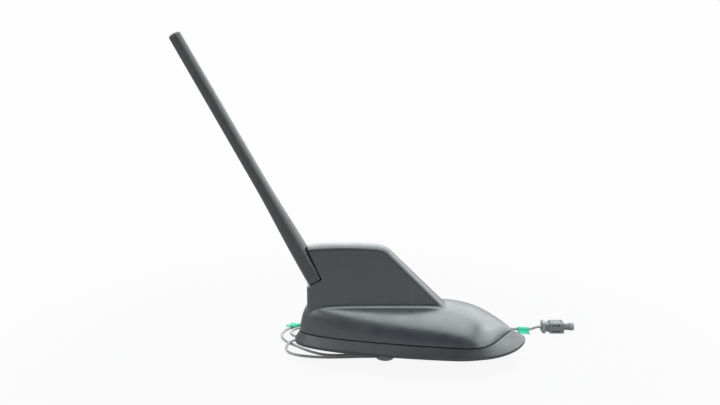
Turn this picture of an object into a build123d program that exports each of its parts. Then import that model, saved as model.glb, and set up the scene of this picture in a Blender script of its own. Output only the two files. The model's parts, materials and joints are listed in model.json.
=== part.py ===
from build123d import *
from math import copysign, cos, pi, radians, sin, tan
import os

# Roof aerial: a moulded fin cover on a rubber roof seal, with a screw-on rod mast.
# Millimetres. +X runs to the nose, +Z up from the roof skin, origin on the fixing spigot's axis.

# Cover hull
hull_beam = 35.2
hull_beam_x = 53.0
hull_nose_x = 100.0
hull_tail_x = -62.6
hull_top_z = 27.2
hull_base_z = -6.0
hull_level_front_x = 25.0
hull_level_rear_x = -45.0
hull_nose_plan_power = 2.95
hull_nose_plan_root = 2.94
hull_tail_plan_power = 1.0
hull_tail_plan_root = 0.48
hull_nose_fall_power = 2.35
hull_nose_fall_root = 0.65
hull_tail_fall_power = 5.0
hull_tail_fall_root = 0.5
hull_nose_deck_power = 2.0
hull_tail_deck_power = 4.8
hull_wall_power = 3.6
hull_nose_trim = 6.0
hull_tail_trim = 0.65
cover_wall = 2.4
seam_z = 6.4
seam_gap = 0.8

# Fin on the cover
fin_rear_x = -56.3
fin_top_z = 71.3
fin_top_mid_x = -28.0
fin_top_front_x = -0.5
fin_top_front_drop = 1.5
fin_top_rear_drop = 1.4
fin_foot_z = 17.0
fin_half_at_foot = 8.4
fin_half_at_top = 5.6
fin_brow_radius = 16.0
fin_rim_radius = 3.6
fin_tail_radius = 3.2
fin_foot_radius = 3.0
fin_cavity_margin = 0.6

# Mast
mast_lean = 28.4
mast_foot_x = -49.4
mast_foot_z = 44.2
mast_length = 195.0
mast_foot_radius = 6.7
mast_tip_radius = 4.3
mast_neck_radius = 4.7
mast_shoulder_length = 24.0
mast_neck_length = 88.0
mast_tip_rounding = 1.6
stud_radius = 2.5
stud_length = 9.5
stud_clearance = 0.05
ferrule_radius = 4.2
ferrule_length = 14.0
rod_radius = 1.6
rod_end = 12.0
rod_socket_depth = 9.0
winding_wall = 0.5
winding_start = 30.0
winding_end = 16.0
mast_seal_thick = 1.0
mast_seal_radius = 5.6
lip_at_floor = 4.7
lip_at_top = 6.4
lip_height = 26.0
notch_corner_radius = 1.2
notch_rim_radius = 0.5
groove_clearance = 0.4

# Mast socket and its contact
socket_radius = 4.6
socket_length = 23.0
socket_bore_depth = 12.0
contact_width = 4.0
contact_thick = 0.5
contact_drop = 6.0
contact_kick = 4.0
contact_pad = 7.0

# Roof seal
lip_beam = 36.0
lip_beam_x = 46.0
lip_nose_x = 102.0
lip_tail_x = -65.8
lip_nose_power = 2.6
lip_nose_root = 0.72
lip_tail_power = 1.15
lip_tail_root = 0.42
lip_bottom_z = -1.5
lip_edge_z = 0.6
lip_width = 2.4
seal_rim_proud = 0.2
seal_upstand_height = 3.0
seal_upstand_wall = 2.0
seat_clearance = 0.3
fit_clearance = 0.2

# Base plate and spigot
plate_clearance = 0.5
plate_bottom_z = 1.0
plate_thick = 3.4
spigot_radius = 7.0
spigot_nose_radius = 6.5
spigot_bore_radius = 4.8
spigot_thread_length = 9.0
spigot_length = 15.0
spigot_collar_radius = 7.6
spigot_slot = 6.4
spigot_slot_height = 5.6
spigot_seal_radius = 12.5
rib_width = 1.6
rib_height = 2.2
rib_front_x = 62.0
rib_rear_x = -26.0

# Electronics
board_z = 8.2
board_thick = 1.6
board_inset = 9.0
board_front_x = 68.0
board_rear_x = -42.0
patch_side = 25.0
patch_thick = 4.0
patch_x = 47.0
can_length = 26.0
can_width = 20.0
can_height = 4.6
can_wall = 0.5
can_x = 12.0
antenna_thick = 1.0
antenna_gap = 3.4

# Fasteners
cover_boss_radius = 3.4
cover_boss_front_x = 60.0
cover_boss_rear_x = -33.0
cover_boss_margin = 2.1
cover_screw_radius = 1.4
cover_screw_head_radius = 2.7
cover_screw_head = 1.6
cover_screw_length = 11.0
board_post_radius = 2.8
board_post_places = ((28.0, 14.0), (-12.0, 9.5))
board_screw_radius = 1.0
board_screw_head_radius = 2.0
board_screw_head = 1.4
board_screw_length = 4.6

# Leads, tags and connectors
lead_radius = 1.0
lead_lift = 0.3
lead_pitch = 3.4
lead_exit = 6.3
lead_crossing_gap = 0.5
grommet_top_z = 3.0
tag_slack = 0.4
tag_wall = 0.2
tag_length = 8.8
tag_flag = 7.5
tag_thick = 0.4
tag_lift = 0.1
tag_flag_start = 0.6
radio_tag_place = (112.8, 49.63)
radio_tag_heading = -5.7
tail_tag_place = (-70.8, 55.75)
tail_tag_heading = 39.0
plug_flange = 8.2
plug_flange_length = 2.2
plug_neck = 6.2
plug_neck_length = 3.8
plug_body = 8.8
plug_body_length = 10.8
plug_body_rounding = 0.9
plug_nose_radius = 2.6
plug_nose_length = 8.4
plug_ring_radius = 2.95
plug_ring_length = 3.2
plug_bore_radius = 1.9
plug_pin_radius = 0.5
plug_contact_recess = 1.0
plug_contact_wall = 0.35
plug_window = (6.0, 1.5, 1.0)
plug_window_height = 2.45
plug_lock = (1.6, 4.4)

# Worked-out levels
rest_z = -spigot_length
lead_z = rest_z + lead_radius + lead_lift
fin_top_front = (fin_top_front_x, fin_top_z - fin_top_front_drop)
fin_top_rear_z = fin_top_z - fin_top_rear_drop
cover_bottom_z = seam_z + seam_gap
plate_top_z = plate_bottom_z + plate_thick
board_top_z = board_z + board_thick
hull_rise = hull_top_z - hull_base_z
upstand_inset = cover_wall + seat_clearance
plate_inset = upstand_inset + seal_upstand_wall + plate_clearance
tag_bore = lead_radius + tag_slack
tag_z = rest_z + tag_bore + tag_wall
cover_boss_places = (
    (cover_boss_front_x, patch_side / 2 + cover_boss_radius + cover_boss_margin),
    (cover_boss_rear_x, socket_radius + cover_boss_radius + fit_clearance),
)


def hull_half_width(x, inset):
    """Half-width of the hull at its base level."""
    if x > hull_beam_x:
        t = (x - hull_beam_x) / (hull_nose_x - inset - hull_beam_x)
        return (hull_beam - inset) * (1 - t**hull_nose_plan_power) ** hull_nose_plan_root
    t = (hull_beam_x - x) / (hull_beam_x - hull_tail_x - inset)
    return (hull_beam - inset) * (1 - t**hull_tail_plan_power) ** hull_tail_plan_root


def hull_height(x, inset):
    """Height of the hull's ridge above its base level."""
    rise = hull_rise - inset
    if x > hull_level_front_x:
        t = (x - hull_level_front_x) / (hull_nose_x - inset - hull_level_front_x)
        return rise * (1 - t**hull_nose_fall_power) ** hull_nose_fall_root
    if x < hull_level_rear_x:
        t = (hull_level_rear_x - x) / (hull_level_rear_x - hull_tail_x - inset)
        return rise * (1 - t**hull_tail_fall_power) ** hull_tail_fall_root
    return rise


def hull_deck_power(x):
    """The power of the hull's cross-section: round at the nose, with flat decks and tight shoulders at the tail."""
    astern = (hull_nose_x - x) / (hull_nose_x - hull_tail_x)
    return hull_nose_deck_power + (hull_tail_deck_power - hull_nose_deck_power) * astern**3


def section_reach(across, up, deck_power):
    """How far the hull's cross-section reaches along a spoke, for a half-width and a height of one."""
    reach = 1.0
    for _ in range(12):
        wide = (reach * across) ** deck_power
        tall = (reach * up) ** hull_wall_power
        reach -= reach * (wide + tall - 1) / (deck_power * wide + hull_wall_power * tall)
    return reach


def hull(inset, low, high=40.0, stations=40, spokes=24):
    """The teardrop hull, moved in by a wall's thickness and cut between two levels."""
    rear = hull_tail_x + inset + hull_tail_trim
    front = hull_nose_x - inset - hull_nose_trim
    rows = []
    for i in range(stations + 1):
        x = rear + (front - rear) * (1 - cos(pi * i / stations)) / 2
        width = hull_half_width(x, inset)
        height = hull_height(x, inset)
        row = []
        for j in range(spokes + 1):
            across = cos(pi * j / spokes)
            up = sin(pi * j / spokes)
            reach = section_reach(abs(across), up, hull_deck_power(x))
            row.append(Vector(x, -width * reach * across, hull_base_z + height * reach * up))
        rows.append(row)
    skin = Face.make_surface_from_array_of_points(rows, tol=0.01, min_deg=3, max_deg=5)
    body = Solid.extrude(skin, Vector(0, 0, -2 * hull_rise))
    return body & slab(low, high)


def slab(low, high, reach=200.0):
    """A level slab far wider than the part."""
    return Pos(0, 0, (low + high) / 2) * Box(2 * reach, 2 * reach, high - low)


def hull_point(fraction, inset, z):
    """A point of the hull's outline at a level: 1 at the nose, 0 abeam and -1 at the tail."""
    level = (z - hull_base_z) / (hull_rise - inset)
    if fraction >= 0:
        reach = (1 - level ** (1 / hull_nose_fall_root)) ** (1 / hull_nose_fall_power)
        nose = hull_level_front_x + reach * (hull_nose_x - inset - hull_level_front_x)
        x = hull_beam_x + fraction * (nose - hull_beam_x)
    else:
        reach = (1 - level ** (1 / hull_tail_fall_root)) ** (1 / hull_tail_fall_power)
        tail = hull_level_rear_x - reach * (hull_level_rear_x - hull_tail_x - inset)
        x = hull_beam_x + fraction * (hull_beam_x - tail)
    share = min(1.0, (z - hull_base_z) / hull_height(x, inset))
    half = hull_half_width(x, inset) * (1 - share**hull_wall_power) ** (1 / hull_deck_power(x))
    return x, half


def lip_point(fraction, inset=0.0):
    """A point of the seal's outer lip, by the same fractions."""
    if fraction >= 0:
        x = lip_beam_x + fraction * (lip_nose_x - inset - lip_beam_x)
        return x, (lip_beam - inset) * (1 - fraction**lip_nose_power) ** lip_nose_root
    x = lip_beam_x + fraction * (lip_beam_x - lip_tail_x - inset)
    return x, (lip_beam - inset) * (1 - (-fraction) ** lip_tail_power) ** lip_tail_root


def plan_wire(point, z, proud=0.0, count=28):
    """A closed outline through points given by a function, the same on both sides of the centre line."""
    points = []
    for i in range(count):
        turn = 2 * pi * i / count
        x, half = point(cos(turn))
        points.append(Vector(x + proud * cos(turn), copysign(half, sin(turn)) + proud * sin(turn), z))
    steps = [i / count for i in range(count + 1)]
    loop = Edge.make_spline(points, periodic=True, parameters=steps)
    return Wire([loop.trim(0, 0.5), loop.trim(0.5, 1)])


def flat_piece(inset, low, high):
    """A flat piece with upright sides, to the hull's outline at its upper face."""
    outline = plan_wire(lambda f: hull_point(f, inset, high), low)
    return extrude(Face(outline), high - low, dir=(0, 0, 1))


def four_places(places):
    """The given places, on both sides of the centre line."""
    return [(x, side * y) for x, y in places for side in (1, -1)]


def post(radius, low, high, place):
    """An upright cylinder."""
    return Pos(place[0], place[1], low) * extrude(Circle(radius), high - low)


def hole(radius, low, high, place, proud=1.0):
    """A cutter for a round hole right through, longer than the hole at both ends."""
    return post(radius, low - proud, high + proud, place)


def ring(outer, inner, low, high):
    """An upright ring on the spigot's axis."""
    return Pos(0, 0, low) * extrude(Circle(outer) - Circle(inner), high - low)


# Mast frame: its local Z runs up the mast and its local X points forward
lean = radians(mast_lean)
mast_plane = Plane(
    origin=(mast_foot_x, 0, mast_foot_z),
    x_dir=(cos(lean), 0, sin(lean)),
    z_dir=(-sin(lean), 0, cos(lean)),
)
fin_cavity_rear_x = mast_foot_x + socket_length * sin(lean) + socket_radius + 2 * cover_wall


def mast_cylinder(radius, low, high):
    """A cylinder on the mast's axis between two distances from the notch floor."""
    return mast_plane * Pos(0, 0, low) * extrude(Circle(radius), high - low)


def fin_profile(inset, rear_x):
    """The fin seen from the side, moved in by a wall's thickness."""
    front_x, front_z = fin_top_front
    front_z = front_z - inset
    front_x = front_x - inset * tan(pi / 8)
    with BuildSketch(Plane.XZ) as side:
        with BuildLine():
            rear = Line((fin_rear_x, fin_foot_z), (fin_rear_x, fin_top_rear_z - inset))
            top = ThreePointArc(rear @ 1, (fin_top_mid_x, fin_top_z - inset), (front_x, front_z))
            slope = Line(top @ 1, (front_x + front_z - fin_foot_z, fin_foot_z))
            Line(slope @ 1, rear @ 0)
        make_face()
        if rear_x > fin_rear_x:
            split(bisect_by=Plane(origin=(rear_x, 0, 0), z_dir=(1, 0, 0)))
    return side.sketch


def fin_wedge(inset, reach=100.0):
    """The fin seen from the front: thick at the foot, thinner upwards and open at the top."""
    foot = fin_half_at_foot - inset
    rise = fin_top_z - fin_foot_z
    over = 0.1 * rise
    top = fin_half_at_top - inset - 0.1 * (fin_half_at_foot - fin_half_at_top)
    with BuildSketch(Plane.YZ) as front:
        with BuildLine():
            near = Polyline((foot, fin_foot_z), (-foot, fin_foot_z), (-top, fin_top_z + over))
            Polyline(near @ 1, (top, fin_top_z + over), near @ 0)
        make_face()
    return extrude(front.sketch, reach, both=True)


def make_notch():
    """The open-backed notch that the mast's foot stands in."""
    reach = 60.0
    with BuildSketch(Plane.XZ) as side:
        with BuildLine():
            slope = (lip_at_top - lip_at_floor) / lip_height
            floor = Line((-reach, 0), (lip_at_floor, 0))
            lip = Line(floor @ 1, (lip_at_floor + slope * reach, reach))
            Polyline(lip @ 1, (-reach, reach), floor @ 0)
        make_face()
        corner = side.vertices().sort_by(Axis.Y)[:2].sort_by(Axis.X)[-1]
        fillet(corner, notch_corner_radius)
    return mast_plane * extrude(side.sketch, reach, both=True)


def make_fin():
    """The solid fin, before it joins the hull."""
    fin = extrude(fin_profile(0, fin_rear_x), 2 * fin_half_at_foot, both=True) & fin_wedge(0)
    brow = fin.edges().filter_by(Axis.Y).sort_by_distance((fin_top_front[0], 0, fin_top_front[1]))[0]
    fin = fillet(brow, fin_brow_radius)
    rim = [e for e in fin.edges() if e.center().Z > fin_foot_z + 1 and e.center().X > fin_rear_x + 1]
    rim = [e for e in rim if abs(e.center().Y) > 1]
    fin = fillet(rim, fin_rim_radius)
    fin = fin - make_notch()
    tail = [e for e in fin.edges() if abs(e.center().X - fin_rear_x) < 0.5]
    tail = [e for e in tail if e.center().Z < mast_foot_z - 4 and e.bounding_box().size.Z > 10]
    fin = fillet(tail, fin_tail_radius)
    return fillet(notch_rim(fin), notch_rim_radius)


def notch_rim(fin):
    """The outer edges of the notch's floor and lip, on both sides of the fin."""
    rim = []
    for edge in fin.edges():
        spot = mast_plane.to_local_coords(edge.center())
        aside = abs(spot.Y) > mast_foot_radius / 2
        on_floor = abs(spot.Z) < notch_corner_radius / 2 and abs(spot.X) < 2 * mast_foot_radius
        along_lip = lip_at_floor - notch_corner_radius < spot.X < lip_at_top
        on_lip = along_lip and 0 < spot.Z < lip_height - fin_rim_radius
        if aside and (on_floor or on_lip):
            rim.append(edge)
    return rim


def make_cover():
    """The moulded cover: hull, blended fin, notch, bosses and the hollow inside."""
    outer = hull(0, cover_bottom_z)
    fin = make_fin()
    body = outer + fin
    foot = new_edges(outer, fin, combined=body)
    body = fillet(foot, fin_foot_radius)
    hollow = hull(cover_wall, hull_base_z + 1)
    side = fin_profile(cover_wall + fin_cavity_margin, fin_cavity_rear_x)
    fin_hollow = extrude(side, 2 * fin_half_at_foot, both=True)
    fin_hollow = fin_hollow & fin_wedge(cover_wall)
    body = body - hollow - fin_hollow
    for place in four_places(cover_boss_places):
        boss = post(cover_boss_radius, plate_top_z, hull_top_z, place) & hull(cover_wall / 2, plate_bottom_z)
        body = body + boss
        body = body - post(cover_screw_radius, plate_top_z, plate_bottom_z + cover_screw_length, place)
    body = body - mast_cylinder(mast_foot_radius + groove_clearance, 0, 2 * lip_height)
    return body - mast_cylinder(socket_radius, -socket_length, 1)


def make_roof_seal():
    """The rubber seal: a sloped skirt with a drooping lip, and an upstand inside the cover."""
    lip_top = plan_wire(lip_point, lip_edge_z)
    rim = plan_wire(lambda f: hull_point(f, 0, seam_z), seam_z, seal_rim_proud)
    skirt = Solid.make_loft([lip_top, rim], True)
    edge = extrude(Face(lip_top), lip_edge_z - lip_bottom_z, dir=(0, 0, -1))
    body = edge + skirt
    under = Face(plan_wire(lambda f: lip_point(f, lip_width), lip_bottom_z))
    body = body - extrude(under, -lip_bottom_z, dir=(0, 0, 1))
    body = body + hull(upstand_inset, seam_z, seam_z + seal_upstand_height)
    return body - hull(upstand_inset + seal_upstand_wall, hull_base_z + 1)


def make_base_plate():
    """The cast plate with its ribs, board posts and the slotted hollow spigot."""
    plate = flat_piece(plate_inset, plate_bottom_z, plate_top_z)
    plate = plate - hole(spigot_bore_radius, plate_bottom_z, plate_top_z, (0, 0))
    plate = plate + ring(spigot_collar_radius, spigot_bore_radius, 0, plate_bottom_z)
    plate = plate + ring(spigot_radius, spigot_bore_radius, -spigot_thread_length, 0)
    plate = plate + ring(spigot_nose_radius, spigot_bore_radius, rest_z, -spigot_thread_length)
    rib_length = rib_front_x - rib_rear_x
    rib = Box(rib_length, rib_width, rib_height)
    for side in (1, -1):
        place = Pos(rib_front_x - rib_length / 2, side * (spigot_collar_radius + rib_width), plate_top_z)
        plate = plate + place * Pos(0, 0, rib_height / 2) * rib
    for place in four_places(board_post_places):
        plate = plate + post(board_post_radius, plate_top_z, board_z, place)
        plate = plate - post(board_screw_radius, board_top_z - board_screw_length, board_z, place)
    for place in four_places(cover_boss_places):
        plate = plate - hole(cover_screw_radius, plate_bottom_z, plate_top_z, place)
        head = Cone(cover_screw_head_radius, cover_screw_radius, cover_screw_head)
        plate = plate - Pos(place[0], place[1], plate_bottom_z + cover_screw_head / 2) * head
    slot = Box(2 * spigot_radius, spigot_slot, spigot_slot_height)
    return plate - Pos(-spigot_radius, 0, rest_z + spigot_slot_height / 2) * slot


def make_cover_screws():
    """Countersunk screws that hold the cover from under the plate."""
    screws = []
    neck_z = plate_bottom_z + cover_screw_head
    for place in four_places(cover_boss_places):
        shank = post(cover_screw_radius, neck_z, plate_bottom_z + cover_screw_length, place)
        head = Cone(cover_screw_head_radius, cover_screw_radius, cover_screw_head)
        screws.append(shank + Pos(place[0], place[1], neck_z - cover_screw_head / 2) * head)
    return Compound(screws)


def make_board_screws():
    """Pan-head screws that hold the board on its posts."""
    screws = []
    for place in four_places(board_post_places):
        head = post(board_screw_head_radius, board_top_z, board_top_z + board_screw_head, place)
        shank = post(board_screw_radius, board_top_z - board_screw_length, board_top_z, place)
        screws.append(head + shank)
    return Compound(screws)


def make_circuit_board():
    """The board, cut to the hull's outline with bays round the cover's bosses."""
    board = flat_piece(board_inset, board_z, board_top_z)
    length = board_front_x - board_rear_x
    board = board & Pos(board_rear_x + length / 2, 0, board_z) * Box(length, 2 * hull_beam, 4 * board_thick)
    for place in four_places(cover_boss_places):
        board = board - hole(cover_boss_radius + 2 * seat_clearance, board_z, board_top_z, place)
    for place in four_places(board_post_places):
        board = board - hole(board_screw_radius, board_z, board_top_z, place)
    return board


def make_gps_patch():
    """The ceramic patch with the raised silvered face on top."""
    tile = Box(patch_side, patch_side, patch_thick)
    tile = fillet(tile.edges().filter_by(Axis.Z), 1.0)
    face = Box(patch_side - 4, patch_side - 4, 0.3)
    tile = tile + Pos(0, 0, patch_thick / 2 + 0.15) * face
    return Pos(patch_x, 0, board_top_z + patch_thick / 2) * tile


def make_shield_can():
    """The folded tin can over the amplifier, open underneath."""
    shell = Box(can_length, can_width, can_height)
    shell = fillet(shell.edges().filter_by(Axis.Z), 0.9)
    inside = Box(can_length - 2 * can_wall, can_width - 2 * can_wall, can_height)
    shell = shell - Pos(0, 0, -can_wall) * inside
    return Pos(can_x, 0, board_top_z + can_height / 2) * shell


def make_fin_antenna():
    """The upright board inside the fin."""
    profile = fin_profile(cover_wall + fin_cavity_margin + antenna_gap, fin_cavity_rear_x + antenna_gap)
    plate = extrude(profile, antenna_thick / 2, both=True)
    can_front = can_x + can_length / 2 + 1
    foot_length = patch_x - patch_side / 2 - 1 - can_front
    foot = Box(foot_length, antenna_thick, fin_foot_z - board_top_z + 1)
    return plate + Pos(can_front + foot_length / 2, 0, (fin_foot_z + board_top_z + 1) / 2) * foot


def make_mast_socket():
    """The brass bush moulded into the fin under the notch."""
    bush = mast_cylinder(socket_radius, -socket_length, 0)
    return bush - mast_cylinder(stud_radius + stud_clearance, -socket_bore_depth, 0)


def make_contact():
    """The sprung strip from the socket's end down to a pad on the board."""
    half = contact_thick / 2
    end = mast_plane.from_local_coords((0, 0, -socket_length - half))
    knee = mast_plane.from_local_coords((0, 0, -socket_length - contact_drop))
    pad_z = board_top_z + half
    heel_x = knee.X - contact_kick
    with BuildSketch(Plane.XZ) as side:
        with BuildLine():
            arm = Polyline((end.X, end.Z), (knee.X, knee.Z), (heel_x, pad_z))
            pad = Line(arm @ 1, (heel_x + contact_pad, pad_z))
        trace([arm, pad], contact_thick)
    return extrude(side.sketch, contact_width / 2, both=True)


def mast_outline():
    """The mast's half section, from its foot up to the rounded tip."""
    foot = mast_seal_thick
    with BuildSketch(Plane.XZ) as half:
        with BuildLine():
            base = Line((0, foot), (mast_foot_radius, foot))
            flare = Spline(
                base @ 1,
                (mast_foot_radius - 0.3, mast_shoulder_length),
                (mast_neck_radius, mast_neck_length),
                tangents=((0, 1), (0, 1)),
                tangent_scalars=(0.6, 1.2),
            )
            side = Line(flare @ 1, (mast_tip_radius, mast_length - mast_tip_rounding))
            crown_radius = mast_tip_radius - mast_tip_rounding
            tip = RadiusArc(side @ 1, (crown_radius, mast_length), -mast_tip_rounding)
            crown = Line(tip @ 1, (0, mast_length))
            Line(crown @ 1, base @ 0)
        make_face()
    return half.sketch


def make_mast_jacket():
    """The moulded jacket, hollow for the rod, the winding and the ferrule."""
    body = mast_plane * revolve(mast_outline(), Axis.Z)
    body = body - mast_cylinder(ferrule_radius, mast_seal_thick, ferrule_length)
    body = body - mast_cylinder(rod_radius, ferrule_length, mast_length - rod_end)
    return body - mast_cylinder(rod_radius + winding_wall, winding_start, mast_length - winding_end)


def make_mast_rod():
    """The glass-fibre rod down the middle of the mast."""
    return mast_cylinder(rod_radius, ferrule_length - rod_socket_depth, mast_length - rod_end)


def make_mast_winding():
    """The close wire winding on the rod, as one sleeve."""
    sleeve = mast_cylinder(rod_radius + winding_wall, winding_start, mast_length - winding_end)
    return sleeve - mast_cylinder(rod_radius, winding_start, mast_length - winding_end)


def make_mast_ferrule():
    """The brass ferrule that grips the rod, with its stud below."""
    body = mast_cylinder(ferrule_radius, mast_seal_thick, ferrule_length)
    body = body - mast_cylinder(rod_radius, ferrule_length - rod_socket_depth, ferrule_length)
    return body + mast_cylinder(stud_radius, -stud_length, mast_seal_thick)


def make_mast_seal():
    """The rubber washer between the mast's foot and the notch floor."""
    washer = mast_cylinder(mast_seal_radius, 0, mast_seal_thick)
    return washer - mast_cylinder(stud_radius + fit_clearance, 0, mast_seal_thick)


def make_lead_grommet():
    """The moulded plug in the spigot, with a tongue that fills the slot."""
    plug = post(spigot_bore_radius, rest_z, grommet_top_z, (0, 0))
    tongue = Box(spigot_nose_radius, spigot_slot, spigot_slot_height)
    tongue = Pos(-spigot_nose_radius / 2, 0, rest_z + spigot_slot_height / 2) * tongue
    outside = post(spigot_nose_radius, rest_z, -spigot_thread_length, (0, 0))
    face = Box(2 * lead_exit, 2 * spigot_radius, 2 * spigot_length)
    return plug + (tongue & outside & face)


def make_lead_tails():
    """The leads' inner ends, from the grommet up to the board."""
    places = [(0, side * lead_pitch / 2) for side in (1, -1)]
    return Compound([post(lead_radius, grommet_top_z, board_z, place) for place in places])


def make_lead(name, points):
    """A round lead along straight runs joined by the largest arcs that the runs allow."""
    spots = [Vector(*p) for p in points]
    radii = []
    for before, here, after in zip(spots, spots[1:], spots[2:]):
        turn = radians((here - before).get_angle(after - here))
        shorter = min((here - before).length, (after - here).length)
        radii.append(0.45 * shorter / tan(turn / 2))
    path = FilletPolyline(*spots, radius=radii)
    section = Plane(origin=path @ 0, z_dir=path % 0) * Circle(lead_radius)
    tube = sweep(section, path=path)
    expected = pi * lead_radius**2 * path.length
    print(name, "length", round(path.length, 1), "volume ratio", round(tube.volume / expected, 4))
    print(name, "radii", [round(r, 1) for r in radii])
    return tube


def plug_bar(radius, start, length):
    """A round bar along a connector's axis."""
    return Pos(start, 0, 0) * extrude(Plane.YZ * Circle(radius), length)


def plug_block(side, start, length):
    """A square block along a connector's axis."""
    return Pos(start + length / 2, 0, 0) * Box(length, side, side)


def make_plug_housing(rear):
    """The moulded connector: flange, neck, windowed body and round nose."""
    neck_x = plug_flange_length
    body_x = neck_x + plug_neck_length
    nose_x = body_x + plug_body_length
    end_x = nose_x + plug_nose_length
    block = plug_block(plug_body, body_x, plug_body_length)
    body = fillet(block.edges().filter_by(Axis.X), plug_body_rounding)
    body = body + plug_block(plug_flange, 0, plug_flange_length)
    body = body + plug_block(plug_neck, neck_x, plug_neck_length)
    body = body + plug_bar(plug_nose_radius, nose_x, plug_nose_length)
    body = body + plug_bar(plug_ring_radius, end_x - plug_ring_length, plug_ring_length)
    body = body - plug_bar(plug_bore_radius, nose_x, plug_nose_length)
    length, height, depth = plug_window
    window = Box(length, depth, height)
    for side in (1, -1):
        for level in (plug_window_height, -plug_window_height):
            middle = body_x + (plug_body_length - plug_lock[0]) / 2
            body = body - Pos(middle, side * (plug_body - depth) / 2, level) * window
    thick, wide = plug_lock
    slot = Pos(nose_x - thick, 0, 0) * Box(thick, wide, plug_body)
    return Pos(*rear) * (body - slot)


def make_plug_lock(rear):
    """The slide-in catch across the connector's body."""
    thick, wide = plug_lock
    place = plug_flange_length + plug_neck_length + plug_body_length - thick
    return Pos(*rear) * Pos(place, 0, 0) * Box(thick, wide, plug_body)


def make_plug_contact(rear):
    """The brass contact sleeve and centre pin inside the nose."""
    nose_x = plug_flange_length + plug_neck_length + plug_body_length
    length = plug_nose_length - plug_contact_recess
    cup = plug_bar(plug_bore_radius, nose_x, length)
    cup = cup - plug_bar(plug_bore_radius - plug_contact_wall, nose_x + plug_contact_wall, length)
    return Pos(*rear) * (cup + plug_bar(plug_pin_radius, nose_x, length))


def make_tag(place, heading):
    """A tape flag wrapped round a lead, with its tail lying beside it."""
    sleeve = Plane.YZ * (Circle(tag_bore + tag_wall) - Circle(tag_bore))
    flag = Box(tag_length, tag_flag, tag_thick)
    drop = rest_z - tag_z + tag_thick / 2 + tag_lift
    flag = Pos(0, tag_flag / 2 + tag_flag_start, drop) * flag
    flag = flag - extrude(Plane.YZ * Circle(tag_bore), tag_length, both=True)
    tag = extrude(sleeve, tag_length / 2, both=True) + flag
    return Pos(place[0], place[1], tag_z) * Rot(0, 0, heading) * tag


# Where the leads lie: out of the spigot, back under the seal, round the tail and along the far side
plug_z = rest_z + plug_body / 2
over_z = lead_z + 2 * lead_radius + lead_crossing_gap
radio_route = (
    (-lead_exit, lead_pitch / 2, lead_z),
    (-17.0, lead_pitch / 2, lead_z),
    (-30.0, 0.8, lead_z),
    (-43.0, 0.4, lead_z),
    (-55.0, 6.4, lead_z),
    (-66.0, 16.5, lead_z),
    (-76.5, 26.5, lead_z),
    (-81.0, 38.5, lead_z),
    (-77.5, 50.5, lead_z),
    (-66.5, 59.5, lead_z),
    (-48.0, 65.5, lead_z),
    (-20.0, 70.5, lead_z),
    (12.0, 72.0, lead_z),
    (44.0, 68.5, lead_z),
    (72.0, 61.0, lead_z),
    (91.0, 53.0, lead_z),
    (104.0, 50.5, lead_z),
    (118.6, 49.05, lead_z),
    (123.0, 47.5, plug_z),
    (127.0, 47.5, plug_z),
)
gps_route = (
    (-lead_exit, -lead_pitch / 2, lead_z),
    (-17.0, -lead_pitch / 2, lead_z),
    (-31.0, -2.8, lead_z),
    (-45.0, -3.2, lead_z),
    (-59.0, -1.2, lead_z),
    (-69.5, 3.0, lead_z),
    (-74.5, 11.0, lead_z),
    (-72.5, 19.4, over_z),
    (-64.0, 25.4, over_z),
    (-52.0, 23.0, lead_z),
    (-41.0, 19.5, lead_z),
    (-30.5, 22.0, lead_z),
    (-26.5, 32.5, lead_z),
    (-34.0, 41.0, lead_z),
    (-46.0, 40.5, lead_z),
    (-56.0, 36.0, lead_z),
    (-66.5, 33.5, lead_z),
    (-73.5, 39.5, lead_z),
    (-72.8, 49.0, lead_z),
    (-64.5, 54.2, lead_z),
    (-52.0, 57.0, lead_z),
    (-36.0, 58.5, lead_z),
    (-20.0, 57.5, lead_z),
    (-9.0, 56.0, lead_z),
    (-2.0, 55.0, plug_z),
    (4.0, 55.0, plug_z),
)

nodes = {
    "fin_cover": make_cover(),
    "roof_seal": make_roof_seal(),
    "base_plate": make_base_plate(),
    "spigot_seal": ring(spigot_seal_radius, spigot_collar_radius + fit_clearance, 0, plate_bottom_z),
    "cover_screws": make_cover_screws(),
    "circuit_board": make_circuit_board(),
    "board_screws": make_board_screws(),
    "gps_patch": make_gps_patch(),
    "shield_can": make_shield_can(),
    "fin_antenna": make_fin_antenna(),
    "mast_socket": make_mast_socket(),
    "mast_contact": make_contact(),
    "mast_seal": make_mast_seal(),
    "mast_jacket": make_mast_jacket(),
    "mast_rod": make_mast_rod(),
    "mast_winding": make_mast_winding(),
    "mast_ferrule": make_mast_ferrule(),
    "lead_grommet": make_lead_grommet(),
    "lead_tails": make_lead_tails(),
    "radio_lead": make_lead("radio_lead", radio_route),
    "gps_lead": make_lead("gps_lead", gps_route),
    "radio_tag": make_tag(radio_tag_place, radio_tag_heading + 180),
    "tail_tag": make_tag(tail_tag_place, tail_tag_heading),
}
for lead, route in (("radio", radio_route), ("gps", gps_route)):
    nodes[lead + "_plug"] = make_plug_housing(route[-1])
    nodes[lead + "_plug_lock"] = make_plug_lock(route[-1])
    nodes[lead + "_plug_contact"] = make_plug_contact(route[-1])

os.makedirs("parts", exist_ok=True)
for name, shape in nodes.items():
    export_step(shape, f"parts/{name}.step")
print(len(nodes), "nodes")
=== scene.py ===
"""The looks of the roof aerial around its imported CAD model: materials, leads, tags, camera and light."""
import json
import math

import bmesh
import bpy
from mathutils import Matrix, Vector

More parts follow.
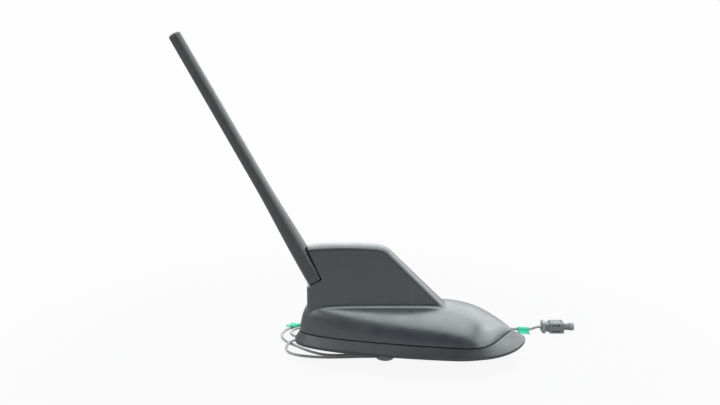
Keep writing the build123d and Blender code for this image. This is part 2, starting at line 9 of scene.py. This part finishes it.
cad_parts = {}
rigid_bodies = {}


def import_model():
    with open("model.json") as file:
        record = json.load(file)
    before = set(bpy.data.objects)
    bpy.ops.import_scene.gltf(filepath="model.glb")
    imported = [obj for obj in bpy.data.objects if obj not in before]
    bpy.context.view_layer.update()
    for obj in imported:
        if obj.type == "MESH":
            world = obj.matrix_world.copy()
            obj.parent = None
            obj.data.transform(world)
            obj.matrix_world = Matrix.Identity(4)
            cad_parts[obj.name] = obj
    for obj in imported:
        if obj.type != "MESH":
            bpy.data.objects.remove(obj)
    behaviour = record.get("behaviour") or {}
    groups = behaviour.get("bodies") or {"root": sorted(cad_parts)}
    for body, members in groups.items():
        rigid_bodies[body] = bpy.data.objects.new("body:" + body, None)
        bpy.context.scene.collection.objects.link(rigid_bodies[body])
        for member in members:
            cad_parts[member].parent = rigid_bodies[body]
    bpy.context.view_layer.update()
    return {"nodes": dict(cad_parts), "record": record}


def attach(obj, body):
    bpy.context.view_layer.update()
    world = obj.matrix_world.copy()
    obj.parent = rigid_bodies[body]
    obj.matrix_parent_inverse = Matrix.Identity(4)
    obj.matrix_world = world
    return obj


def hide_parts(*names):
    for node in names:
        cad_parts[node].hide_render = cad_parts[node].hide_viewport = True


MM = 0.001

# The photograph's view: image size, where the part's origin shows, and how far away it is.
photo_width = 720
photo_height = 405
focal_pixels = 685
origin_pixel = (385.3, 338.0)
view_pitch = math.radians(12)
view_depth = 500 * MM
sensor_width = 36.0

# What the aerial stands on, and the light round it, in metres and watts.
floor_z = -15.05 * MM
floor_size = 8.0
floor_white = 0.42
floor_glow = 0.93
floor_near = 0.15
floor_far = 0.45
backdrop_white = 0.985
room_front = 0.15
world_fill = 0.25
lamp_colour = (0.92, 1.0, 0.98)
softbox_place = (0.08, 0.0, 1.0)
softbox_size = (1.6, 1.0)
softbox_watts = 12.5
backlight_place = (0.3, 1.1, 0.62)
backlight_size = (2.4, 0.8)
backlight_watts = 14.0
sidelight_place = (1.05, -0.1, 0.48)
sidelight_size = (1.9, 1.0)
sidelight_watts = 12.5
left_light_place = (-0.9, -0.5, 0.5)
left_light_size = (0.4, 0.5)
left_light_watts = 3.5

# The leads, on the CAD model's routes, in millimetres.
lead_diameter = 2.0
lead_z = -13.7
over_z = -11.2
plug_z = -10.6
radio_length = 316.4
gps_length = 275.6
radio_route = (
    (-6.3, 1.7, lead_z),
    (-17.0, 1.7, lead_z),
    (-30.0, 0.8, lead_z),
    (-43.0, 0.4, lead_z),
    (-55.0, 6.4, lead_z),
    (-66.0, 16.5, lead_z),
    (-76.5, 26.5, lead_z),
    (-81.0, 38.5, lead_z),
    (-77.5, 50.5, lead_z),
    (-66.5, 59.5, lead_z),
    (-48.0, 65.5, lead_z),
    (-20.0, 70.5, lead_z),
    (12.0, 72.0, lead_z),
    (44.0, 68.5, lead_z),
    (72.0, 61.0, lead_z),
    (91.0, 53.0, lead_z),
    (104.0, 50.5, lead_z),
    (118.6, 49.05, lead_z),
    (123.0, 47.5, plug_z),
    (127.0, 47.5, plug_z),
)
gps_route = (
    (-6.3, -1.7, lead_z),
    (-17.0, -1.7, lead_z),
    (-31.0, -2.8, lead_z),
    (-45.0, -3.2, lead_z),
    (-59.0, -1.2, lead_z),
    (-69.5, 3.0, lead_z),
    (-74.5, 11.0, lead_z),
    (-72.5, 19.4, over_z),
    (-64.0, 25.4, over_z),
    (-52.0, 23.0, lead_z),
    (-41.0, 19.5, lead_z),
    (-30.5, 22.0, lead_z),
    (-26.5, 32.5, lead_z),
    (-34.0, 41.0, lead_z),
    (-46.0, 40.5, lead_z),
    (-56.0, 36.0, lead_z),
    (-66.5, 33.5, lead_z),
    (-73.5, 39.5, lead_z),
    (-72.8, 49.0, lead_z),
    (-64.5, 54.2, lead_z),
    (-52.0, 57.0, lead_z),
    (-36.0, 58.5, lead_z),
    (-20.0, 57.5, lead_z),
    (-9.0, 56.0, lead_z),
    (-2.0, 55.0, plug_z),
    (4.0, 55.0, plug_z),
)

# The tape tags, in millimetres and degrees.
tag_centre_z = -13.4
tag_loop_radius = 1.45
tag_length = 8.8
tag_reach = 8.1
tag_tape = 0.18
tag_curl = 0.6
tag_meet = 3.4
tag_flat = 2.6
tag_root = 1.0
tag_rows = 10
radio_tag_place = (112.8, 49.63)
radio_tag_heading = 174.3
tail_tag_place = (-70.8, 55.75)
tail_tag_heading = 39.0

mast_lean = math.radians(28.4)

# How the CAD nodes are shaded, and the colour sockets of a Mix node.
crisp_angle = math.radians(32)
even_weight = 80
mix_first = 6
mix_second = 7
mix_result = 2
wave_scale = 0.314


class Nodes:
    """A short way to add nodes to a material's or a world's tree and to join them."""

    def __init__(self, tree):
        self.tree = tree
        tree.nodes.clear()

    def add(self, kind, links=None, **settings):
        """A new node with its settings, and its inputs joined to other nodes' outputs or set to a value."""
        node = self.tree.nodes.new(kind)
        for name, value in settings.items():
            setattr(node, name, value)
        for name, value in (links or {}).items():
            if isinstance(value, bpy.types.NodeSocket):
                self.tree.links.new(value, node.inputs[name])
            else:
                node.inputs[name].default_value = value
        return node


def rgba(colour):
    """A colour with an alpha of one."""
    return (*colour, 1.0)


def surface(
    name,
    dark,
    light,
    roughness,
    patch=12.0,
    grain=0.35,
    relief=0.02,
    spread=0.06,
    metallic=0.0,
    specular=0.5,
    ior=1.5,
    edge_wear_and_highlight=0.0,
    bands=None,
    coat=0.0,
    through=0.0,
):
    """A procedural material: cloudy colour between two shades, a fine grain in relief, paler convex edges that
    are partly wear and partly a painted highlight.

    Patch, grain and relief are sizes in millimetres. Bands gives the width of turned or wound lines
    across the mast's axis."""
    material = bpy.data.materials.new(name)
    material.use_nodes = True
    nodes = Nodes(material.node_tree)
    place = nodes.add("ShaderNodeTexCoord").outputs["Object"]
    clouds = nodes.add(
        "ShaderNodeTexNoise", {"Vector": place, "Scale": 1 / (patch * MM), "Detail": 4.0, "Roughness": 0.6}
    ).outputs["Fac"]
    if bands:
        turned = nodes.add(
            "ShaderNodeMapping", {"Vector": place, "Rotation": (0.0, mast_lean, 0.0)}
        ).outputs[0]
        fine = nodes.add(
            "ShaderNodeTexWave",
            {"Vector": turned, "Scale": wave_scale / (bands * MM), "Distortion": 0.4},
            bands_direction="Z",
        ).outputs["Fac"]
    else:
        fine = nodes.add(
            "ShaderNodeTexNoise", {"Vector": place, "Scale": 1 / (grain * MM), "Detail": 2.0}
        ).outputs["Fac"]
    blend = nodes.add("ShaderNodeMath", {0: clouds, 1: fine}, operation="ADD").outputs[0]
    shade = nodes.add(
        "ShaderNodeMapRange", {"Value": blend, "From Min": 0.6, "From Max": 1.4}, clamp=True
    ).outputs[0]
    colour = nodes.add("ShaderNodeMix", {"Factor": shade}, data_type="RGBA")
    colour.inputs[mix_first].default_value = rgba(dark)
    colour.inputs[mix_second].default_value = rgba(light)
    base = colour.outputs[mix_result]
    # Convex edges made paler by pointiness: partly wear, partly a painted highlight where light catches small
    # rounded edges.
    if edge_wear_and_highlight:
        edge = nodes.add("ShaderNodeNewGeometry").outputs["Pointiness"]
        wear_and_highlight_mask = nodes.add(
            "ShaderNodeMapRange",
            {"Value": edge, "From Min": 0.52, "From Max": 0.62, "To Max": edge_wear_and_highlight},
            clamp=True,
        ).outputs[0]
        wear_and_highlight_colour = nodes.add("ShaderNodeMix", {"Factor": wear_and_highlight_mask}, data_type="RGBA")
        nodes.tree.links.new(base, wear_and_highlight_colour.inputs[mix_first])
        wear_and_highlight_colour.inputs[mix_second].default_value = rgba([min(1.0, 3 * c) for c in light])
        base = wear_and_highlight_colour.outputs[mix_result]
    gloss = nodes.add(
        "ShaderNodeMapRange",
        {
            "Value": clouds,
            "From Min": 0.3,
            "From Max": 0.7,
            "To Min": roughness - spread,
            "To Max": roughness + spread,
        },
    ).outputs[0]
    normal = nodes.add(
        "ShaderNodeBump", {"Height": fine, "Strength": 0.5, "Distance": relief * MM}
    ).outputs[0]
    shader = nodes.add(
        "ShaderNodeBsdfPrincipled",
        {
            "Base Color": base,
            "Roughness": gloss,
            "Normal": normal,
            "Metallic": metallic,
            "Specular IOR Level": specular,
            "IOR": ior,
            "Coat Weight": coat,
            "Coat Roughness": 0.2,
            "Subsurface Weight": through,
            "Subsurface Scale": 0.002,
        },
    )
    nodes.add("ShaderNodeOutputMaterial", {"Surface": shader.outputs[0]})
    return material


def make_materials():
    """One material for each slot of the record."""
    return {
        "cover_plastic": surface(
            "cover_plastic",
            (0.013, 0.016, 0.024),
            (0.019, 0.023, 0.032),
            0.36,
            relief=0.008,
            specular=1.0,
            ior=1.65,
        ),
        "seal_rubber": surface(
            "seal_rubber",
            (0.019, 0.02, 0.026),
            (0.028, 0.029, 0.036),
            0.46,
            patch=7,
            grain=0.25,
            relief=0.01,
            specular=0.9,
        ),
        "cast_plate": surface(
            "cast_plate",
            (0.6, 0.59, 0.55),
            (0.74, 0.73, 0.69),
            0.5,
            patch=4,
            grain=0.6,
            relief=0.05,
            metallic=0.6,
        ),
        "screw_steel": surface(
            "screw_steel",
            (0.45, 0.45, 0.46),
            (0.6, 0.6, 0.62),
            0.3,
            patch=2,
            grain=0.2,
            metallic=1.0,
            edge_wear_and_highlight=0.4,
        ),
        "board_laminate": surface(
            "board_laminate", (0.01, 0.08, 0.03), (0.03, 0.16, 0.06), 0.35, patch=5, grain=0.8, coat=0.3
        ),
        "patch_ceramic": surface(
            "patch_ceramic", (0.5, 0.44, 0.35), (0.66, 0.6, 0.5), 0.4, patch=6, grain=0.3
        ),
        "tinned_steel": surface(
            "tinned_steel", (0.5, 0.5, 0.48), (0.66, 0.66, 0.64), 0.32, patch=4, grain=0.4, metallic=1.0
        ),
        "brass": surface(
            "brass",
            (0.55, 0.36, 0.12),
            (0.72, 0.52, 0.22),
            0.28,
            patch=3,
            metallic=1.0,
            bands=0.15,
            relief=0.01,
        ),
        "mast_plastic": surface(
            "mast_plastic",
            (0.037, 0.037, 0.039),
            (0.045, 0.045, 0.048),
            0.4,
            patch=10,
            grain=0.3,
            relief=0.004,
            specular=0.8,
        ),
        "rod_glass_fibre": surface(
            "rod_glass_fibre", (0.55, 0.54, 0.4), (0.75, 0.74, 0.6), 0.35, patch=6, grain=0.2
        ),
        "copper_wire": surface(
            "copper_wire", (0.4, 0.14, 0.06), (0.7, 0.32, 0.18), 0.3, metallic=1.0, bands=0.3, relief=0.1
        ),
        "lead_sheath": surface(
            "lead_sheath", (0.33, 0.34, 0.33), (0.39, 0.4, 0.39), 0.45, patch=9, grain=0.6, relief=0.003
        ),
        "tag_tape": surface(
            "tag_tape",
            (0.004, 0.4, 0.23),
            (0.012, 0.52, 0.32),
            0.4,
            patch=3,
            grain=0.4,
            relief=0.01,
            through=0.2,
        ),
        "plug_plastic": surface(
            "plug_plastic",
            (0.16, 0.167, 0.176),
            (0.21, 0.217, 0.228),
            0.6,
            patch=4,
            grain=0.2,
            specular=0.3,
            edge_wear_and_highlight=0.2,
        ),
        "lock_plastic": surface(
            "lock_plastic",
            (0.05, 0.053, 0.06),
            (0.075, 0.08, 0.09),
            0.55,
            patch=3,
            grain=0.2,
            specular=0.3,
            edge_wear_and_highlight=0.2,
        ),
    }


def make_lead(name, route, slot_material):
    """A lead as one smooth spline with the route's points as its control points."""
    curve = bpy.data.curves.new(name, "CURVE")
    curve.dimensions = "3D"
    spline = curve.splines.new("NURBS")
    spline.points.add(len(route) - 1)
    for point, spot in zip(spline.points, route):
        point.co = (*(MM * value for value in spot), 1.0)
    spline.order_u = 3
    spline.use_endpoint_u = True
    spline.resolution_u = 10
    curve.bevel_depth = lead_diameter / 2 * MM
    curve.bevel_resolution = 5
    curve.use_fill_caps = True
    curve.materials.append(slot_material)
    lead = bpy.data.objects.new(name, curve)
    bpy.context.scene.collection.objects.link(lead)
    return lead


def tag_profile():
    """The tape's line across a lead: out along the floor, round the lead and back over its own tail."""
    loop_start = -100
    loop_end = 62
    steps = 22
    floor_drop = -tag_loop_radius
    line = [(tag_reach * (1 - i / 8) + tag_root * i / 8, floor_drop) for i in range(8)]
    for i in range(steps + 1):
        angle = math.radians(loop_start - (360 + loop_start - loop_end) * i / steps)
        line.append((tag_loop_radius * math.cos(angle), tag_loop_radius * math.sin(angle)))
    top_drop = floor_drop + 1.1 * tag_tape
    start_y, start_z = line[-1]
    for i in range(1, 7):
        share = i / 6
        ease = share * share * (3 - 2 * share)
        line.append((start_y + (tag_meet - start_y) * share, start_z + (top_drop - start_z) * ease))
    line += [(tag_meet + (tag_reach - tag_meet) * i / 7, top_drop) for i in range(1, 8)]
    return line


def make_tag(name, place, heading, material):
    """A tape tag folded round a lead and stuck to itself, with its free end a little curled."""
    mesh = bmesh.new()
    columns = tag_profile()
    grid = []
    for i in range(tag_rows + 1):
        along = tag_length * (i / tag_rows - 0.5)
        row = []
        for y, z in columns:
            out = max(0.0, (y - tag_flat) / (tag_reach - tag_flat))
            lift = tag_curl * out**2 * (0.75 + 0.5 * i / tag_rows)
            row.append(mesh.verts.new((along, y, z + lift)))
        grid.append(row)
    for near, far in zip(grid, grid[1:]):
        for j in range(len(columns) - 1):
            mesh.faces.new((near[j], near[j + 1], far[j + 1], far[j]))
    for face in mesh.faces:
        face.smooth = True
    data = bpy.data.meshes.new(name)
    mesh.to_mesh(data)
    mesh.free()
    turn = Matrix.Rotation(math.radians(heading), 4, "Z")
    middle = Matrix.Translation(Vector((place[0], place[1], tag_centre_z)))
    data.transform(Matrix.Scale(MM, 4) @ middle @ turn)
    data.materials.append(material)
    tag = bpy.data.objects.new(name, data)
    bpy.context.scene.collection.objects.link(tag)
    thick = tag.modifiers.new("tape", "SOLIDIFY")
    thick.thickness = tag_tape * MM
    thick.offset = 0
    return tag


def make_floor():
    """The pale floor: it glows for the view, so that only the shadow shows on it, and is clear from below."""
    half = floor_size / 2
    data = bpy.data.meshes.new("floor")
    corners = [(half * x, half * y, floor_z) for x, y in ((-1, -1), (1, -1), (1, 1), (-1, 1))]
    data.from_pydata(corners, [], [(0, 1, 2, 3)])
    material = bpy.data.materials.new("floor")
    material.use_nodes = True
    nodes = Nodes(material.node_tree)
    white = rgba((floor_white, floor_white, floor_white))
    paper = nodes.add("ShaderNodeBsdfDiffuse", {"Color": white})
    glow = nodes.add("ShaderNodeEmission", {"Color": rgba((1, 1, 1)), "Strength": backdrop_white})
    place = nodes.add("ShaderNodeTexCoord").outputs["Object"]
    far = nodes.add("ShaderNodeVectorMath", {0: place}, operation="LENGTH").outputs["Value"]
    glowing = nodes.add(
        "ShaderNodeMapRange",
        {"Value": far, "From Min": floor_near, "From Max": floor_far, "To Min": floor_glow, "To Max": 1.0},
        interpolation_type="SMOOTHSTEP",
    ).outputs[0]
    seen = nodes.add("ShaderNodeLightPath").outputs["Is Camera Ray"]
    share = nodes.add("ShaderNodeMath", {0: seen, 1: glowing}, operation="MULTIPLY")
    top = nodes.add("ShaderNodeMixShader", {0: share.outputs[0], 1: paper.outputs[0], 2: glow.outputs[0]})
    below = nodes.add("ShaderNodeNewGeometry").outputs["Backfacing"]
    clear = nodes.add("ShaderNodeBsdfTransparent")
    mixed = nodes.add("ShaderNodeMixShader", {0: below, 1: top.outputs[0], 2: clear.outputs[0]})
    nodes.add("ShaderNodeOutputMaterial", {"Surface": mixed.outputs[0]})
    data.materials.append(material)
    floor = bpy.data.objects.new("floor", data)
    bpy.context.scene.collection.objects.link(floor)


def make_world():
    """A white surround for the view, a room dimmer in front for reflections, and a plain fill for the rest."""
    world = bpy.data.worlds.new("studio")
    world.use_nodes = True
    bpy.context.scene.world = world
    nodes = Nodes(world.node_tree)
    white = rgba((backdrop_white, backdrop_white, backdrop_white))
    shown = nodes.add("ShaderNodeBackground", {"Color": white, "Strength": 1.0})
    light = nodes.add("ShaderNodeBackground", {"Color": rgba((0.96, 0.98, 1.0)), "Strength": world_fill})
    direction = nodes.add("ShaderNodeTexCoord").outputs["Generated"]
    away = nodes.add("ShaderNodeSeparateXYZ", {0: direction}).outputs["Y"]
    brightness = nodes.add(
        "ShaderNodeMapRange",
        {"Value": away, "From Min": -0.4, "From Max": 0.3, "To Min": room_front, "To Max": backdrop_white},
        interpolation_type="SMOOTHSTEP",
    ).outputs[0]
    room = nodes.add("ShaderNodeBackground", {"Color": rgba((1, 1, 1)), "Strength": brightness})
    path = nodes.add("ShaderNodeLightPath")
    lit = nodes.add(
        "ShaderNodeMixShader", {0: path.outputs["Is Glossy Ray"], 1: light.outputs[0], 2: room.outputs[0]}
    )
    mixed = nodes.add(
        "ShaderNodeMixShader", {0: path.outputs["Is Camera Ray"], 1: lit.outputs[0], 2: shown.outputs[0]}
    )
    nodes.add("ShaderNodeOutputWorld", {"Surface": mixed.outputs[0]})


def make_lamp(name, place, size, watts):
    """An area lamp aimed at the middle of the aerial."""
    lamp = bpy.data.lights.new(name, "AREA")
    lamp.shape = "RECTANGLE"
    lamp.size, lamp.size_y = size
    lamp.energy = watts
    lamp.color = lamp_colour
    holder = bpy.data.objects.new(name, lamp)
    holder.location = place
    holder.rotation_mode = "QUATERNION"
    holder.rotation_quaternion = (-Vector(place)).to_track_quat("-Z", "Y")
    holder.visible_camera = False
    bpy.context.scene.collection.objects.link(holder)


def make_camera():
    """The photograph's camera: level across, pitched down, with the origin at its own pixel."""
    camera = bpy.data.cameras.new("camera")
    camera.sensor_width = sensor_width
    camera.lens = sensor_width * focal_pixels / photo_width
    camera.clip_start = 0.01
    camera.clip_end = 50.0
    across = (origin_pixel[0] - photo_width / 2) / focal_pixels * view_depth
    down = (origin_pixel[1] - photo_height / 2) / focal_pixels * view_depth
    ahead = Vector((0.0, math.cos(view_pitch), -math.sin(view_pitch)))
    below = Vector((0.0, -math.sin(view_pitch), -math.cos(view_pitch)))
    holder = bpy.data.objects.new("camera", camera)
    holder.location = -(Vector((across, 0.0, 0.0)) + down * below + view_depth * ahead)
    holder.rotation_euler = (math.pi / 2 - view_pitch, 0.0, 0.0)
    bpy.context.scene.collection.objects.link(holder)
    bpy.context.scene.camera = holder


for old in list(bpy.data.objects):
    bpy.data.objects.remove(old)
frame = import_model()
materials = make_materials()
for subpart in frame["record"]["subparts"]:
    node = frame["nodes"][subpart["node"]]
    node.data.materials.clear()
    node.data.materials.append(materials[subpart["material_slot"]])
    crisp = node.modifiers.new("crisp_edges", "EDGE_SPLIT")
    crisp.split_angle = crisp_angle
    even = node.modifiers.new("even_shading", "WEIGHTED_NORMAL")
    even.weight = even_weight

radio_lead_tags = []
for name, place, heading in (
    ("radio_tag", radio_tag_place, radio_tag_heading),
    ("tail_tag", tail_tag_place, tail_tag_heading),
):
    tag = make_tag(name + "_tape", place, heading, materials["tag_tape"])
    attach(tag, "base")
    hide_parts(name)
    radio_lead_tags.append(tag)

for name, route, length in (("radio", radio_route, radio_length), ("gps", gps_route, gps_length)):
    lead = make_lead(name + "_lead_sheath", route, materials["lead_sheath"])
    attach(lead, "base")
    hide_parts(name + "_lead")
    on_it = [frame["nodes"][name + end] for end in ("_plug", "_plug_lock", "_plug_contact")]
    if name == "radio":
        on_it += radio_lead_tags

make_floor()
make_world()
make_lamp("softbox", softbox_place, softbox_size, softbox_watts)
make_lamp("backlight", backlight_place, backlight_size, backlight_watts)
make_lamp("sidelight", sidelight_place, sidelight_size, sidelight_watts)
make_lamp("left_light", left_light_place, left_light_size, left_light_watts)
make_camera()
bpy.context.scene.view_settings.view_transform = "Standard"
